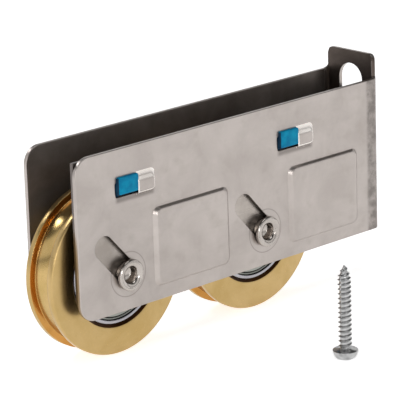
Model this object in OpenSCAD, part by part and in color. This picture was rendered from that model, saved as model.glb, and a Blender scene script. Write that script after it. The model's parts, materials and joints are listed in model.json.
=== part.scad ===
// Tandem roller for a sliding door: two grooved wheels on a slide plate, inside a folded sheet housing.
// Millimetres. +X runs from the open end to the end plate, +Y from the near plate to the far plate, +Z is up.
// The origin is the centre of the fixing hole, on the end plate's outer face.

/* [Housing] */

// Thickness of the housing sheet
sheet_t = 1.2; // [0.9:0.1:1.6]

// Height of the two side plates
housing_h = 45; // [43:0.5:54]

// Overall width over the two side plates
housing_w = 20.9; // [18.5:0.1:26]

// From the open end to the lead wheel's axle
lead_margin = 17.1; // [14.5:0.1:21]

// From the tail wheel's axle to the end plate's outer face
tail_margin = 47.4; // [39.5:0.1:57]

// Outside radius of the two bends
bend_r = 2.2; // [1.8:0.1:4]

// Corner radius of the side plates at the open end
corner_r = 5; // [3:0.1:6]

// Height of the end plate's tab above the side plates
tab_rise = 6.8; // [6:0.1:9]

// Width of the tab
tab_w = 18.5; // [16.5:0.1:18.5]

// Corner radius of the tab
tab_corner_r = 2.3; // [1:0.1:4]

// How far the tab and its slot sit from the middle, towards the near plate
end_shift = 0.3; // [0:0.05:0.4]

// Diameter of the fixing hole in the end plate
fixing_hole_d = 4; // [3.4:0.1:5]

// Height of the fixing hole above the side plates' bottom edge
fixing_hole_z = 14; // [8:0.5:18]

/* [Raised pads] */

// From a raised pad's end to the next slot, or to the end bend's start
pad_gap = 2.4; // [1:0.1:6]

// Height of each raised pad
pad_h = 22.4; // [18:0.1:26]

// How far a raised pad stands out of its plate
pad_rise = 0.9; // [0.5:0.1:1.2]

// From an axle to the pad beside it
pad_offset = 9.3; // [8:0.1:12]

// From the plate's bottom edge to the pad
pad_z = 3.9; // [3:0.1:6]

// Corner radius of a raised pad
pad_corner_r = 2; // [1.5:0.1:4]

// How far a raised pad's upright sides lean in over their rise
pad_side_lean = 1.3; // [0.5:0.1:2]

// How far a raised pad's top and bottom sides lean in over their rise
pad_edge_lean = 0.6; // [0.3:0.1:1.5]

/* [Windows and glide pads] */

// Length of each window
window_l = 13.9; // [12:0.1:16]

// Height of each window
window_h = 5.9; // [5:0.1:7]

// From the plate's top edge to a window
window_drop = 7.6; // [6:0.1:9]

// From the open end to the lead window
lead_window_x = 13.6; // [12.5:0.1:16]

// From the end plate's outer face to the tail window's far end
tail_window_x = 28; // [24:0.1:32]

// Length of the pressed louvre that covers each window's end
louvre_l = 6.4; // [5:0.1:7.5]

// How far a louvre stands out of the plate
louvre_rise = 1.1; // [0.9:0.05:1.3]

// Thickness of the pressed louvre's skin
louvre_skin = 0.6; // [0.4:0.05:0.7]

// How far a glide pad stands out of the plate
glide_rise = 0.9; // [0.6:0.05:1.1]

/* [Wheels] */

// Diameter over the flanges
wheel_d = 46.5; // [41:0.5:56]

// Width over the flanges
wheel_w = 10.7; // [10.2:0.1:12.9]

// Gap between the two wheels
wheel_gap = 5; // [4:0.1:8]

// Height of the axles above the side plates' bottom edge, wheels fully out
axle_z = 10; // [8.5:0.1:12]

// Depth of the groove for the rail
groove_depth = 1.75; // [1:0.05:2.2]

// Width of the groove for the rail
groove_w = 7; // [5.8:0.1:7.6]

// Chamfer at the bearing seat's mouth
seat_chamfer = 0.8; // [0.3:0.05:1]

/* [Bearings] */

// Bearing outside diameter
bearing_d = 30; // [25:0.5:36]

// Bearing bore
bearing_bore = 10; // [9.5:0.1:11]

// Bearing width
bearing_w = 9; // [8:0.1:9.5]

// Ball diameter
ball_d = 4.762; // [4:0.001:5]

// Width of the outer ring's face, outside the shield
ring_face_w = 1.2; // [0.9:0.1:1.6]

// Number of balls
ball_count = 8; // [6:1:9]

/* [Axles and slots] */

// Diameter of the axle pin's shank
pin_d = 6.5; // [5.4:0.1:7.8]

// Diameter of the axle pin's flared heads
pin_head_d = 8.7; // [8.2:0.1:10]

// How far a flared head stands out of its side plate
pin_head_rise = 1.8; // [1.4:0.1:2.4]

// Diameter of the hollow in each end of a pin
pin_hollow_d = 4.4; // [3:0.1:4.6]

// Depth of the hollow in each end of a pin
pin_hollow_depth = 3.4; // [2:0.1:5]

// Wheel travel along the diagonal slots
slot_travel = 12.2; // [10:0.1:13]

// Slope of the diagonal slots
slot_angle = 48.5; // [44:0.5:54]

// Thickness of the slide plate
slide_t = 1; // [0.8:0.1:1.2]

// Outside diameter of the spacers beside the bearings
spacer_d = 13; // [12.5:0.1:14.5]

// Length of the spacer between the slide plate and a bearing
near_spacer_l = 2.25; // [1.6:0.05:2.7]

/* [Adjuster] */

// Width of the upright slot in the end plate
adjust_slot_w = 9; // [8.2:0.1:10]

// From the top of the upright slot to the top of the tab
adjust_slot_top = 3.8; // [3:0.1:5]

// Thread diameter of the adjusting screw
adjuster_d = 6; // [5:0.5:6.5]

// Length of the adjusting screw under its head
adjuster_l = 25; // [24:0.5:30]

// Head diameter of the adjusting screw
adjuster_head_d = 10.5; // [10:0.1:11.4]

// Head height of the adjusting screw
adjuster_head_h = 3.3; // [2.6:0.1:3.6]

// Key size of the adjusting screw's socket
adjuster_key = 4; // [3:0.5:5]

// Diameter of the washer under the adjusting screw's head
washer_d = 14; // [12:0.5:15]

// Thickness of that washer
washer_t = 1.2; // [0.8:0.1:1.5]

// Width across the flats of the nut on the slide plate
nut_af = 10; // [9.5:0.5:11]

// Thickness of that nut
nut_t = 5; // [3:0.1:5]

/* [Fixing screw] */

// Thread diameter of the fixing screw
screw_d = 3.7; // [3.1:0.1:3.8]

// Core diameter of the fixing screw
screw_core_d = 2.8; // [2.2:0.1:2.9]

// Length of the fixing screw under its head
screw_l = 23.5; // [20:0.5:28]

// Thread pitch of the fixing screw
screw_pitch = 1.32; // [1.2:0.02:1.6]

// Head diameter of the fixing screw
screw_head_d = 7; // [6.5:0.1:8]

// Head height of the fixing screw
screw_head_h = 2.5; // [2:0.1:2.8]

// Fixing screw's place: from the open end, along the roller
screw_x = 54.4; // [20:0.1:80]

// Fixing screw's place: how far in front of the near plate
screw_front = 43.9; // [20:0.1:60]

/* [Clearances] */

// Gap between the slide plate and the near plate
slide_gap = 0.15; // [0.1:0.05:0.2]

// Play of a pin in its slot, on the radius
pin_play = 0.05; // [0.03:0.01:0.1]

// Gap between a flared head and its side plate, and between the far spacers and the far plate
side_gap = 0.3; // [0.2:0.05:0.4]

// Running play of a ball in its raceways, and of the nut on its screw
running_play = 0.04; // [0.02:0.01:0.08]

// How far a bearing sits below the wheel's face
bearing_recess = 0.3; // [0.1:0.05:0.5]

/* [Hidden] */

$fn = 96;
eps = 0.01;

steel = [0.71, 0.69, 0.67];
dark_steel = [0.45, 0.44, 0.43];
brass = [0.8, 0.64, 0.36];
blue = [0.1, 0.5, 0.68];
shield_grey = [0.6, 0.61, 0.59];

wheelbase = wheel_d + wheel_gap;
housing_l = lead_margin + wheelbase + tail_margin;
tail_x = lead_margin + wheelbase;
mid_y = housing_w / 2;
end_y = mid_y - end_shift;
floor_z = axle_z - wheel_d / 2;
slot_d = pin_d + 2 * pin_play;

// A pad fills the room between a pin and the next slot; the tail pad, that before the end bend.
slot_reach = slot_travel * cos(slot_angle) + slot_d / 2;
pad_l = min(wheelbase - slot_reach, tail_margin - bend_r) - pad_offset - pad_gap;

// The chain of faces across the roller, from the near plate inwards.
slide_y = sheet_t + slide_gap;
spacer_y = slide_y + slide_t;
bearing_y = spacer_y + near_spacer_l;
wheel_y = bearing_y - bearing_recess;
far_spacer_y = bearing_y + bearing_w;
far_spacer_l = housing_w - sheet_t - side_gap - far_spacer_y;
seat_depth = bearing_recess + bearing_w;
shoulder_bore_d = bearing_d - 4;

// Slide plate: flush with the housing's ends, and its end flange stays clear of the end plate.
slide_start_x = 0.5;
slide_bottom_z = 1;
slide_top_drop = 1.1;
flange_gap = 9;
flange_x = housing_l - flange_gap;
slide_bend_r = 2;

flange_bore_play = 0.3;
flange_tail_l = 2;

// The adjusting screw rises with the slide plate, so its slot is as long as that rise.
lift = slot_travel * sin(slot_angle);
adjust_top_z = housing_h + tab_rise - adjust_slot_top - adjust_slot_w / 2;
adjust_end_play = 0.3;
adjust_z = adjust_top_z - lift - adjust_end_play;
adjust_slot_l = lift + adjust_end_play + 0.2;
flange_low_z = adjust_z - nut_af / 2 - 1;
flange_top_z = adjust_z + adjuster_d / 2 + 1.3;
flange_end_y = end_y + nut_af / 2;
collar_d = adjust_slot_w - 0.3;
face_gap = 0.05;
collar_l = washer_t + sheet_t + 2 * face_gap;
washer_play = 0.1;
socket_depth = 2;
thread_chamfer = 0.8;
head_dome_r = 0.75 * adjuster_head_d;
nut_bore_d = adjuster_d;
thread_d = adjuster_d - 2 * running_play;

// Bearing: the balls run half way between the bore and the outside.
pitch_d = (bearing_d + bearing_bore) / 2;
race_r = ball_d / 2 + running_play;
shoulder_h = 1.2;
inner_ring_d = pitch_d - ball_d + 2 * shoulder_h;
outer_ring_bore = pitch_d + ball_d - 2 * shoulder_h;
shield_t = 0.6;
shield_inset = 0.2;
shield_gap = 0.15;
shield_d = bearing_d - 2 * ring_face_w;
shield_seat = shield_inset + shield_t;
cage_t = 0.8;
cage_w = ball_d + 1.5;
pocket_play = 0.12;
ring_corner_r = 0.4;

// Moves a shape drawn from the open end, the near face and the bottom edge to the part's own origin.
module in_frame() {
    translate([-housing_l, -mid_y, -fixing_hole_z]) children();
}

// Stands a shape's own Z along +Y, at an axle.
module on_axle(x, y) {
    translate([x, y, axle_z]) rotate([-90, 0, 0]) children();
}

// Draws a flat outline in the X-Z plane and gives it a depth from y towards +Y.
module plate_shape(y, depth) {
    translate([0, y + depth, 0]) rotate([90, 0, 0]) linear_extrude(depth) children();
}

module round_rect(l, h, r) {
    translate([r, 0]) square([l - 2 * r, h]);
    translate([0, r]) square([l, h - 2 * r]);
    for (x = [r, l - r], z = [r, h - r]) {
        translate([x, z]) circle(r);
    }
}

module ring(od, id, l) {
    difference() {
        cylinder(d = od, h = l);
        translate([0, 0, -eps]) cylinder(d = id, h = l + 2 * eps);
    }
}

// A rectangle with round corners only at its +X end.
module bent_outline(l, w, r) {
    square([l - r, w]);
    translate([0, r]) square([l, w - 2 * r]);
    translate([l - r, r]) circle(r);
    translate([l - r, w - r]) circle(r);
}

module stadium(length, d) {
    circle(d / 2);
    translate([0, -d / 2]) square([length, d]);
    translate([length, 0]) circle(d / 2);
}

module diagonal_slot(x) {
    translate([x, axle_z]) rotate(180 - slot_angle) stadium(slot_travel, slot_d);
}

// Side plates as seen from the near side: round corners at the open end only.
module side_outline() {
    translate([corner_r, 0]) square([housing_l - corner_r, housing_h]);
    translate([0, corner_r]) square([housing_l, housing_h - 2 * corner_r]);
    for (z = [corner_r, housing_h - corner_r]) {
        translate([corner_r, z]) circle(corner_r);
    }
}

module tab_outline() {
    square([tab_w, tab_rise - tab_corner_r]);
    translate([tab_corner_r, 0]) square([tab_w - 2 * tab_corner_r, tab_rise]);
    for (y = [tab_corner_r, tab_w - tab_corner_r]) {
        translate([y, tab_rise - tab_corner_r]) circle(tab_corner_r);
    }
}

module folded_sheet() {
    intersection() {
        linear_extrude(housing_h) difference() {
            bent_outline(housing_l, housing_w, bend_r);
            translate([-eps, sheet_t])
                bent_outline(housing_l - sheet_t + eps, housing_w - 2 * sheet_t, bend_r - sheet_t);
        }
        plate_shape(0, housing_w) side_outline();
    }
    translate([housing_l - sheet_t, end_y - tab_w / 2, housing_h - eps]) rotate([90, 0, 90])
        linear_extrude(sheet_t) tab_outline();
}

// A block that stands on the plane y = 0 and rises towards -Y. Its four sides lean in over their rise.
module sloped_block(l, h, rise, corner, side_lean, foot_lean, top_lean) {
    intersection() {
        translate([0, 0, -eps]) linear_extrude(h + 2 * eps)
            polygon([[0, 0], [side_lean, -rise], [l - side_lean, -rise], [l, 0]]);
        translate([-eps, 0, 0]) rotate([90, 0, 90]) linear_extrude(l + 2 * eps)
            polygon([[0, 0], [-rise, foot_lean], [-rise, h - top_lean], [0, h]]);
        plate_shape(-rise, rise) round_rect(l, h, corner);
    }
}

module raised_pad(l, h, rise, corner) {
    sloped_block(l, h, rise, corner, pad_side_lean, pad_edge_lean, pad_edge_lean);
}

// Places its children at every raised pad: two on the near plate, two on the far plate.
module at_pads() {
    for (x = [lead_margin, tail_x]) {
        translate([x + pad_offset, 0, pad_z]) children();
        translate([x + pad_offset, housing_w, pad_z]) mirror([0, 1, 0]) children();
    }
}

// The hollow behind a raised pad is smaller than the pad, so that the sheet keeps its thickness.
module pad_hollow() {
    inset = 0.4 * sheet_t;
    translate([inset, sheet_t + eps, inset])
        raised_pad(pad_l - 2 * inset, pad_h - 2 * inset, pad_rise + eps, pad_corner_r - inset);
}

function window_x(tail) = tail ? housing_l - tail_window_x - window_l : lead_window_x;

window_z = housing_h - window_drop - window_h;
window_corner_r = 0.6;
louvre_corner_r = 1.2;
louvre_top_lean = 0.4;
louvre_foot_lean = 1.1;

// A louvre falls away gently at its foot, and steeply at its top.
module louvre_block(l, h, rise, corner) {
    sloped_block(l, h, rise, corner, rise, louvre_foot_lean * rise, louvre_top_lean * rise);
}

module louvre_skin_shape() {
    translate([window_l - louvre_l, 0, -louvre_skin])
        louvre_block(louvre_l + 2 * louvre_skin, window_h + 2 * louvre_skin, louvre_rise, louvre_corner_r);
}

// The cut that opens a window, and hollows the louvre over its end.
module window_cut() {
    over = 1;
    plate_shape(-eps, sheet_t + 2 * eps) round_rect(window_l, window_h, window_corner_r);
    translate([0, eps, 0])
        louvre_block(window_l, window_h, louvre_rise - louvre_skin + eps, window_corner_r);
    plate_shape(-2 * louvre_rise, 2 * louvre_rise)
        translate([-over, -over]) square([window_l - louvre_l + over, window_h + 2 * over]);
}

module housing() {
    color(steel) in_frame() {
        difference() {
            union() {
                folded_sheet();
                at_pads() raised_pad(pad_l, pad_h, pad_rise, pad_corner_r);
                for (tail = [false, true]) {
                    translate([window_x(tail), 0, window_z]) louvre_skin_shape();
                }
            }
            at_pads() pad_hollow();
            for (tail = [false, true]) {
                translate([window_x(tail), 0, window_z]) window_cut();
            }
            plate_shape(-sheet_t, housing_w + 2 * sheet_t) {
                diagonal_slot(lead_margin);
                diagonal_slot(tail_x);
            }
            translate([housing_l - 2 * sheet_t, end_y, adjust_top_z]) rotate([0, 90, 0])
                linear_extrude(3 * sheet_t) stadium(adjust_slot_l, adjust_slot_w);
            translate([housing_l - 2 * sheet_t, mid_y, fixing_hole_z]) rotate([0, 90, 0])
                cylinder(d = fixing_hole_d, h = 3 * sheet_t);
        }
    }
}

// A block in the window, with a lower tongue that goes under the louvre.
module glide_pad(tail) {
    open_l = window_l - louvre_l;
    tongue_rise = louvre_rise - louvre_skin - face_gap;
    color(blue) in_frame() translate([window_x(tail), 0, window_z]) {
        plate_shape(0, sheet_t) round_rect(window_l, window_h, window_corner_r);
        plate_shape(-glide_rise, glide_rise + eps) round_rect(open_l, window_h, window_corner_r);
        translate([0, eps, 0])
            louvre_block(window_l, window_h, tongue_rise + eps, window_corner_r);
    }
}

module glide_pad_lead() {
    glide_pad(false);
}

module glide_pad_tail() {
    glide_pad(true);
}

module slide_outline() {
    slide_h = housing_h - slide_top_drop - slide_bottom_z;
    slide_l = flange_x - slide_bend_r - slide_start_x;
    translate([slide_start_x, slide_bottom_z]) {
        translate([corner_r, 0]) square([slide_l - corner_r, slide_h]);
        translate([0, corner_r]) square([slide_l, slide_h - corner_r]);
        translate([corner_r, corner_r]) circle(corner_r);
    }
}

// The L-shaped end of the slide plate, as seen from above.
module flange_outline() {
    bend_x = flange_x - slide_bend_r;
    translate([bend_x - flange_tail_l, slide_y]) square([flange_tail_l + eps, slide_t]);
    translate([flange_x - slide_t, slide_y + slide_bend_r])
        square([slide_t, flange_end_y - slide_y - slide_bend_r]);
    difference() {
        intersection() {
            translate([bend_x, slide_y]) square(slide_bend_r);
            translate([bend_x, slide_y + slide_bend_r]) circle(slide_bend_r);
        }
        translate([bend_x, slide_y + slide_bend_r]) circle(slide_bend_r - slide_t);
    }
}

module slide_plate() {
    color(steel) in_frame() difference() {
        union() {
            plate_shape(slide_y, slide_t) slide_outline();
            translate([0, 0, flange_low_z]) linear_extrude(flange_top_z - flange_low_z) flange_outline();
        }
        for (x = [lead_margin, tail_x]) {
            on_axle(x, slide_y - slide_t) cylinder(d = pin_d, h = 3 * slide_t);
        }
        translate([flange_x - 3 * slide_t, end_y, adjust_z]) rotate([0, 90, 0])
            cylinder(d = adjuster_d + 2 * flange_bore_play, h = 4 * slide_t);
    }
}

module adjuster_nut() {
    color(dark_steel) in_frame()
        translate([flange_x - slide_t - nut_t, end_y, adjust_z]) rotate([0, 90, 0]) difference() {
            rotate(30) cylinder(d = nut_af / cos(30), h = nut_t, $fn = 6);
            translate([0, 0, -eps]) cylinder(d = nut_bore_d, h = nut_t + 2 * eps);
        }
}

module adjuster_washer() {
    color(steel) in_frame() translate([housing_l + face_gap, end_y, adjust_z]) rotate([0, 90, 0])
        ring(washer_d, collar_d + 2 * washer_play, washer_t);
}

// Button head with a socket, a collar that runs in the end plate's slot, and a threaded shank.
module adjuster_screw() {
    head_x = housing_l + washer_t + 2 * face_gap;
    color(dark_steel) in_frame() translate([head_x, end_y, adjust_z]) rotate([0, 90, 0]) {
        difference() {
            intersection() {
                cylinder(d = adjuster_head_d, h = adjuster_head_h);
                translate([0, 0, adjuster_head_h - head_dome_r]) sphere(head_dome_r);
            }
            translate([0, 0, adjuster_head_h - socket_depth])
                cylinder(d = adjuster_key / cos(30), h = 2 * socket_depth, $fn = 6);
        }
        translate([0, 0, -collar_l]) cylinder(d = collar_d, h = collar_l + eps);
        translate([0, 0, thread_chamfer - adjuster_l]) cylinder(d = thread_d, h = adjuster_l - thread_chamfer);
        translate([0, 0, -adjuster_l])
            cylinder(d1 = thread_d - 2 * thread_chamfer, d2 = thread_d, h = thread_chamfer + eps);
    }
}

// Half a pin's outline from its middle to the face of one flared head.
module pin_half(half_l) {
    shank_r = pin_d / 2;
    head_r = pin_head_d / 2;
    head_t = pin_head_rise - side_gap;
    hollow_r = pin_hollow_d / 2;
    lip = 0.35;
    flare = 0.7;
    flare_h = 0.8;
    rotate_extrude() difference() {
        polygon([
            [0, 0],
            [shank_r, 0],
            [shank_r, half_l - head_t],
            [head_r - lip, half_l - head_t],
            [head_r, half_l - head_t + lip],
            [head_r, half_l - lip],
            [head_r - lip, half_l],
            [0, half_l]
        ]);
        polygon([
            [0, half_l - pin_hollow_depth - 0.5 * hollow_r],
            [hollow_r, half_l - pin_hollow_depth],
            [hollow_r, half_l - flare_h],
            [hollow_r + flare, half_l],
            [hollow_r + flare, half_l + 1],
            [0, half_l + 1]
        ]);
    }
}

module axle_pin(x) {
    half_l = housing_w / 2 + pin_head_rise;
    color(steel) in_frame() on_axle(x, mid_y) {
        pin_half(half_l);
        mirror([0, 0, 1]) pin_half(half_l);
    }
}

module pin_lead() {
    axle_pin(lead_margin);
}

module pin_tail() {
    axle_pin(tail_x);
}

module sleeve(x) {
    color(dark_steel) in_frame() on_axle(x, bearing_y) ring(bearing_bore, pin_d, bearing_w);
}

module sleeve_lead() {
    sleeve(lead_margin);
}

module sleeve_tail() {
    sleeve(tail_x);
}

module near_spacer(x) {
    color(dark_steel) in_frame() on_axle(x, spacer_y) ring(spacer_d, pin_d, near_spacer_l);
}

module near_spacer_lead() {
    near_spacer(lead_margin);
}

module near_spacer_tail() {
    near_spacer(tail_x);
}

module far_spacer(x) {
    color(dark_steel) in_frame() on_axle(x, far_spacer_y) ring(spacer_d, pin_d, far_spacer_l);
}

module far_spacer_lead() {
    far_spacer(lead_margin);
}

module far_spacer_tail() {
    far_spacer(tail_x);
}

module raceway() {
    translate([0, 0, bearing_w / 2]) rotate_extrude() translate([pitch_d / 2, 0]) circle(race_r);
}

module inner_ring(x) {
    color(steel) in_frame() on_axle(x, bearing_y) difference() {
        ring(inner_ring_d, bearing_bore, bearing_w);
        raceway();
    }
}

module inner_ring_lead() {
    inner_ring(lead_margin);
}

module inner_ring_tail() {
    inner_ring(tail_x);
}

module outer_ring(x) {
    c = ring_corner_r;
    outside_r = bearing_d / 2;
    bore_r = outer_ring_bore / 2;
    color(steel) in_frame() on_axle(x, bearing_y) difference() {
        rotate_extrude() polygon([
            [shield_d / 2, 0],
            [outside_r - c, 0],
            [outside_r, c],
            [outside_r, bearing_w - c],
            [outside_r - c, bearing_w],
            [shield_d / 2, bearing_w],
            [shield_d / 2, bearing_w - shield_seat],
            [bore_r, bearing_w - shield_seat],
            [bore_r, shield_seat],
            [shield_d / 2, shield_seat]
        ]);
        raceway();
    }
}

module outer_ring_lead() {
    outer_ring(lead_margin);
}

module outer_ring_tail() {
    outer_ring(tail_x);
}

module at_balls() {
    for (i = [0 : ball_count - 1]) {
        rotate(360 / ball_count * i) translate([pitch_d / 2, 0, bearing_w / 2]) children();
    }
}

module ball_set(x) {
    color(steel) in_frame() on_axle(x, bearing_y) at_balls() sphere(d = ball_d);
}

module balls_lead() {
    ball_set(lead_margin);
}

module balls_tail() {
    ball_set(tail_x);
}

module ball_cage(x) {
    color(dark_steel) in_frame() on_axle(x, bearing_y) difference() {
        translate([0, 0, (bearing_w - cage_w) / 2]) ring(pitch_d + cage_t, pitch_d - cage_t, cage_w);
        at_balls() rotate([0, 90, 0]) cylinder(d = ball_d + 2 * pocket_play, h = 4 * cage_t, center = true);
    }
}

module cage_lead() {
    ball_cage(lead_margin);
}

module cage_tail() {
    ball_cage(tail_x);
}

// Two pressed shields, one in each face of the bearing. They turn with the outer ring.
module shield_pair(x) {
    color(shield_grey) in_frame() on_axle(x, bearing_y) {
        for (z = [shield_inset, bearing_w - shield_inset - shield_t]) {
            translate([0, 0, z]) ring(shield_d, inner_ring_d + 2 * shield_gap, shield_t);
        }
    }
}

module shields_lead() {
    shield_pair(lead_margin);
}

module shields_tail() {
    shield_pair(tail_x);
}

// Two flanges, a flat-bottomed groove between them, and a stepped bore for the bearing.
module wheel(x) {
    rim_r = wheel_d / 2;
    groove_r = rim_r - groove_depth;
    seat_r = bearing_d / 2;
    shoulder_r = shoulder_bore_d / 2;
    flange_t = (wheel_w - groove_w) / 2;
    flare = 0.2;
    edge = 0.3;
    color(brass) in_frame() on_axle(x, wheel_y) rotate_extrude() polygon([
        [seat_r + seat_chamfer, 0],
        [rim_r - edge, 0],
        [rim_r, edge],
        [rim_r, flange_t],
        [groove_r, flange_t + flare],
        [groove_r, wheel_w - flange_t - flare],
        [rim_r, wheel_w - flange_t],
        [rim_r, wheel_w - edge],
        [rim_r - edge, wheel_w],
        [shoulder_r, wheel_w],
        [shoulder_r, seat_depth],
        [seat_r, seat_depth],
        [seat_r, seat_chamfer]
    ]);
}

module wheel_lead() {
    wheel(lead_margin);
}

module wheel_tail() {
    wheel(tail_x);
}

// A low dome that is widest at the rim, under which the shank starts.
module pan_head() {
    rim_h = 0.3;
    foot_r = 0.3 * screw_head_d;
    rim_r = screw_head_d / 2;
    dome_h = screw_head_h - rim_h;
    centre_h = (pow(rim_r, 2) + pow(dome_h, 2) - pow(foot_r, 2)) / (2 * dome_h);
    dome_r = sqrt(pow(foot_r, 2) + pow(centre_h, 2));
    intersection() {
        cylinder(d = screw_head_d + 1, h = dome_h + eps);
        translate([0, 0, centre_h]) sphere(dome_r);
    }
    translate([0, 0, dome_h]) cylinder(r = rim_r, h = rim_h);
}

// Stands on its head beside the roller, on the plane that the wheels stand on.
module fixing_screw() {
    point_l = 3.4;
    cross_l = 3.4;
    cross_w = 0.8;
    cross_depth = 1.4;
    turns = floor((screw_l - point_l) / screw_pitch);
    thread_top = screw_head_h + turns * screw_pitch;
    color(dark_steel) in_frame() translate([screw_x, -screw_front, floor_z]) {
        difference() {
            pan_head();
            for (turn = [0, 90]) {
                rotate(turn) translate([-cross_l / 2, -cross_w / 2, -1]) cube([cross_l, cross_w, 1 + cross_depth]);
            }
        }
        translate([0, 0, screw_head_h - eps]) cylinder(d = screw_core_d, h = thread_top - screw_head_h + 2 * eps);
        translate([0, 0, thread_top])
            cylinder(d1 = screw_core_d, d2 = 0.3, h = screw_head_h + screw_l - thread_top);
        for (i = [0 : turns - 1]) {
            translate([0, 0, screw_head_h + i * screw_pitch]) thread_ring();
        }
    }
}

module thread_ring() {
    rotate_extrude() polygon([
        [screw_core_d / 2 - 0.1, 0.3 * screw_pitch],
        [screw_core_d / 2, 0.3 * screw_pitch],
        [screw_d / 2, 0.47 * screw_pitch],
        [screw_d / 2, 0.53 * screw_pitch],
        [screw_core_d / 2, 0.7 * screw_pitch],
        [screw_core_d / 2 - 0.1, 0.7 * screw_pitch]
    ]);
}

housing();
glide_pad_lead();
glide_pad_tail();
slide_plate();
adjuster_nut();
adjuster_washer();
adjuster_screw();
pin_lead();
pin_tail();
sleeve_lead();
sleeve_tail();
near_spacer_lead();
near_spacer_tail();
far_spacer_lead();
far_spacer_tail();
inner_ring_lead();
inner_ring_tail();
outer_ring_lead();
outer_ring_tail();
balls_lead();
balls_tail();
cage_lead();
cage_tail();
shields_lead();
shields_tail();
wheel_lead();
wheel_tail();
fixing_screw();
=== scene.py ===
"""Tandem roller of a sliding door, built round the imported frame. Sizes are in millimetres times MM."""
import json
import math

import bmesh
import bpy
from mathutils import Matrix, Vector


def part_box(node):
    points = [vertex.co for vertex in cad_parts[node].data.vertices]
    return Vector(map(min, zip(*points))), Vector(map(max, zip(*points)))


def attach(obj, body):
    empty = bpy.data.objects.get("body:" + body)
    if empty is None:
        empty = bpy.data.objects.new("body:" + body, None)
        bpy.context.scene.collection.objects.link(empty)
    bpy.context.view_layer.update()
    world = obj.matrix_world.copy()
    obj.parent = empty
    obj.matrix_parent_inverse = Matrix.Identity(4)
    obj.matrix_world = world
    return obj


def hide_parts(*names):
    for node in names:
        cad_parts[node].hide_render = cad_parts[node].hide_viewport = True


MM = 0.001
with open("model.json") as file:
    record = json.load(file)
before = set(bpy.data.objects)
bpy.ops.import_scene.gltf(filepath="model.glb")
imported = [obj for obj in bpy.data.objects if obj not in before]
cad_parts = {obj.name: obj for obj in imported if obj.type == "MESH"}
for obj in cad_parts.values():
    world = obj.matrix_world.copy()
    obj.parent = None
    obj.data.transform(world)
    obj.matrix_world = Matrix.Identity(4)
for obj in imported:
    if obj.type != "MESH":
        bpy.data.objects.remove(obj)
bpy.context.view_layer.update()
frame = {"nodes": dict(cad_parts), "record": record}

# Sizes shared by several pieces.
SHEET_T = 1.2
HOUSING_L = 116.0
HOUSING_W = 20.9
HOUSING_H = 45.0
LOW_Z = -14.0
BEND_R = 2.2
CORNER_R = 5.0
NEAR_Y = -HOUSING_W / 2
OPEN_X = -HOUSING_L
TOP_Z = LOW_Z + HOUSING_H
END_Y = -0.3
FLOOR_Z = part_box("wheel_lead")[0][2] / MM
WINDOW = {"length": 13.9, "height": 5.9, "low_z": TOP_Z - 7.6 - 5.9}
WINDOW_X = {"lead": OPEN_X + 13.6, "tail": -28.0 - WINDOW["length"]}


def axle_of(node):
    """The middle of a round node, in millimetres."""
    low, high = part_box(node)
    return [(a + b) / 2 / MM for a, b in zip(low, high)]


LEAD = axle_of("wheel_lead")
TAIL = axle_of("wheel_tail")


# ---------------------------------------------------------------- bench tools

def start(name, kind, **settings):
    """Adds a primitive with nothing else selected, and names it."""
    bpy.ops.object.select_all(action="DESELECT")
    getattr(bpy.ops.mesh, f"primitive_{kind}_add")(**settings)
    piece = bpy.context.object
    piece.name = piece.data.name = name
    return piece


def edit(piece):
    bpy.ops.object.select_all(action="DESELECT")
    bpy.context.view_layer.objects.active = piece
    piece.select_set(True)
    bpy.ops.object.mode_set(mode="EDIT")


def done():
    bpy.ops.object.mode_set(mode="OBJECT")


def pick(piece, kind, test):
    """Selects the vertices, edges or faces whose middle, in millimetres, passes the test."""
    bpy.ops.mesh.select_mode(type=kind)
    bpy.ops.mesh.select_all(action="DESELECT")
    mesh = bmesh.from_edit_mesh(piece.data)
    if kind == "VERT":
        for v in mesh.verts:
            v.select = test(v.co / MM)
    elif kind == "EDGE":
        for e in mesh.edges:
            a, b = e.verts[0].co / MM, e.verts[1].co / MM
            e.select = test((a + b) / 2, b - a)
    else:
        for f in mesh.faces:
            f.select = test(f.calc_center_median() / MM, f.normal)
    mesh.select_flush_mode()
    bmesh.update_edit_mesh(piece.data)


def near(a, b, gap=0.02):
    return abs(a - b) < gap


def settle(piece, smooth=35):
    """Puts a piece's place into its mesh and smooths it up to the given angle."""
    if bpy.context.mode != "OBJECT":
        done()
    bpy.ops.object.select_all(action="DESELECT")
    bpy.context.view_layer.objects.active = piece
    piece.select_set(True)
    bpy.ops.object.transform_apply(location=True, rotation=True, scale=True)
    bpy.ops.object.shade_smooth_by_angle(angle=math.radians(smooth))
    return piece


def right_way_out(piece):
    edit(piece)
    bpy.ops.mesh.select_all(action="SELECT")
    bpy.ops.mesh.remove_doubles(threshold=0.002 * MM)
    bpy.ops.mesh.normals_make_consistent(inside=False)
    done()


def finish_with(piece, kind, **settings):
    """Adds one modifier and applies it."""
    bpy.ops.object.select_all(action="DESELECT")
    bpy.context.view_layer.objects.active = piece
    piece.select_set(True)
    made = piece.modifiers.new(kind.lower(), kind)
    for key, value in settings.items():
        setattr(made, key, value)
    bpy.ops.object.modifier_apply(modifier=made.name)


def twin(piece, name, shift=(0, 0, 0)):
    """A copy with its own mesh, moved by a shift in millimetres."""
    copy = piece.copy()
    copy.data = piece.data.copy()
    copy.name = copy.data.name = name
    bpy.context.collection.objects.link(copy)
    copy.data.transform(Matrix.Translation(Vector(shift) * MM))
    return copy


def together(pieces, name):
    bpy.ops.object.select_all(action="DESELECT")
    for p in pieces:
        p.select_set(True)
    bpy.context.view_layer.objects.active = pieces[0]
    bpy.ops.object.join()
    pieces[0].name = pieces[0].data.name = name
    return pieces[0]


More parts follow.
